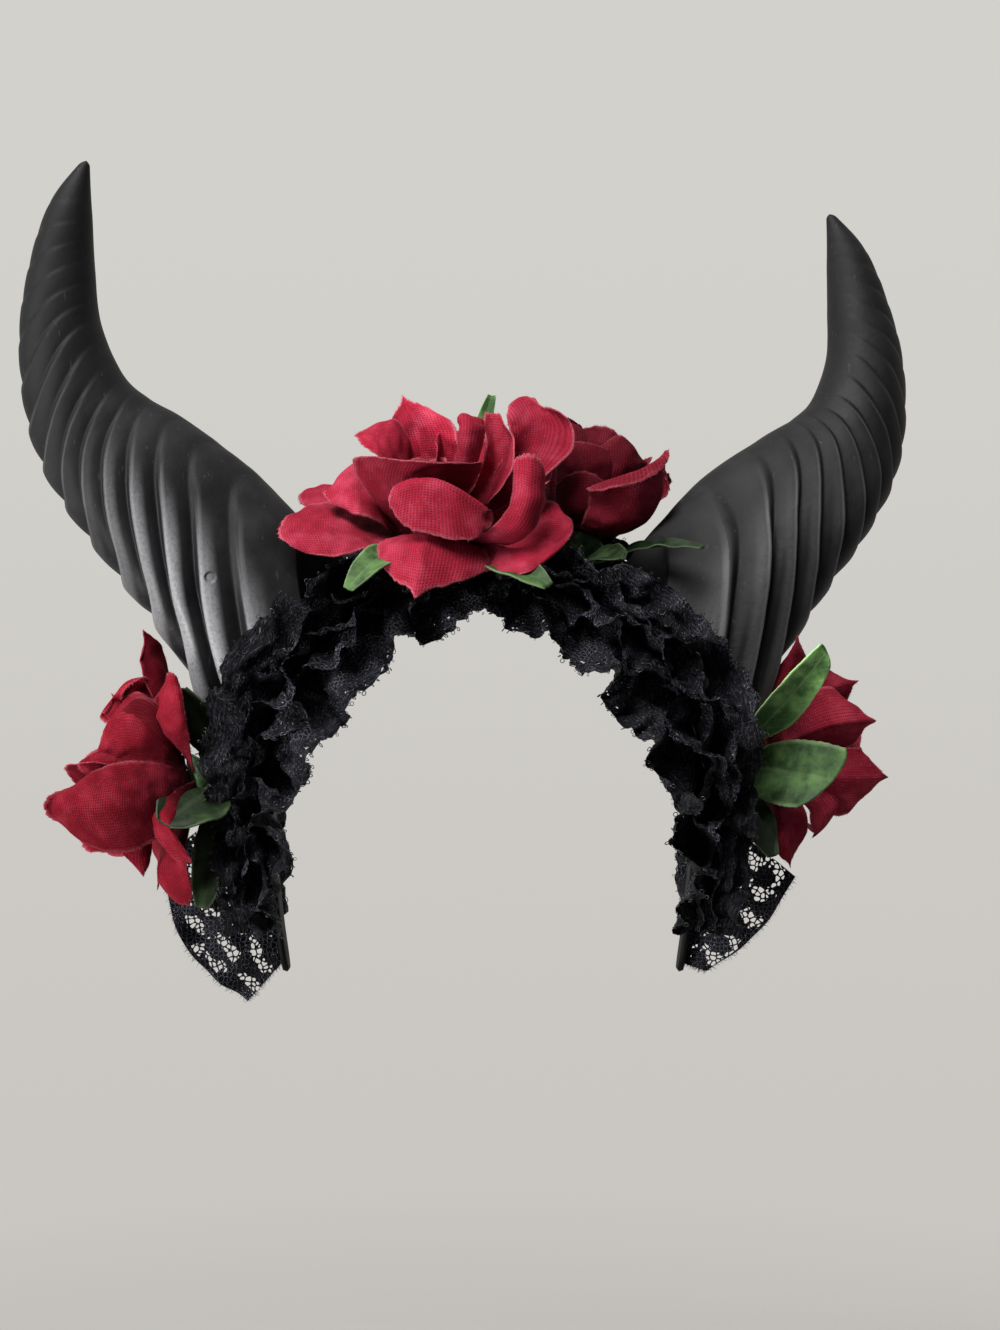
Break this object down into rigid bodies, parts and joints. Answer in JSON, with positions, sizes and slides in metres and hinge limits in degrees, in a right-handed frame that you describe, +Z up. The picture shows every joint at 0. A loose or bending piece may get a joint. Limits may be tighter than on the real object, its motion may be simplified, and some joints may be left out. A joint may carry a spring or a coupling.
{
  "type": "devil horns headband",
  "caption": "Hair band edged with gathered black lace, carrying curved ribbed horns, red cloth roses and green leaves, worn over the head as a costume.",
  "frame": {"origin": "inside top of the band, where it rests on the crown of the head", "axes": "+Z up out of the crown, +X to the viewer's right, -Y the way the wearer faces"},
  "size_m": [0.3294, 0.1363, 0.3037],
  "materials": {
    "horn_black": "matte cast foam, slightly worn",
    "band_black": "satin moulded plastic",
    "lace_black": "openwork lace, some gloss in the thread",
    "petal_red": "pressed woven cloth, matte",
    "petal_wine": "pressed woven cloth, matte",
    "leaf_green": "pressed printed cloth, matte",
    "calyx_green": "moulded plastic, matte"
  },
  "bodies": {
    "root": {"band": "band_black", "horn_left": "horn_black", "horn_right": "horn_black", "lace_ruffle_back": "lace_black", "lace_ruffle_front": "lace_black", "lace_tail_left": "lace_black", "lace_tail_right": "lace_black", "leaf_front_left": "leaf_green", "leaf_front_right": "leaf_green", "leaf_left_lower": "leaf_green", "leaf_left_mid": "leaf_green", "leaf_left_upper": "leaf_green", "leaf_right_bottom": "leaf_green", "leaf_right_lower": "leaf_green", "leaf_right_upper": "leaf_green", "leaf_second_low": "leaf_green", "leaf_second_right": "leaf_green", "leaf_top": "leaf_green", "rose_front_bud": "petal_red", "rose_front_calyx": "calyx_green", "rose_front_inner_petals": "petal_red", "rose_front_middle_petals": "petal_red", "rose_front_outer_petals": "petal_red", "rose_left_bud": "petal_red", "rose_left_calyx": "calyx_green", "rose_left_inner_petals": "petal_red", "rose_left_middle_petals": "petal_red", "rose_left_outer_petals": "petal_red", "rose_right_bud": "petal_wine", "rose_right_calyx": "calyx_green", "rose_right_inner_petals": "petal_wine", "rose_right_middle_petals": "petal_wine", "rose_right_outer_petals": "petal_wine", "rose_second_bud": "petal_wine", "rose_second_calyx": "calyx_green", "rose_second_inner_petals": "petal_wine", "rose_second_middle_petals": "petal_wine", "rose_second_outer_petals": "petal_wine"}
  },
  "joints": []
}
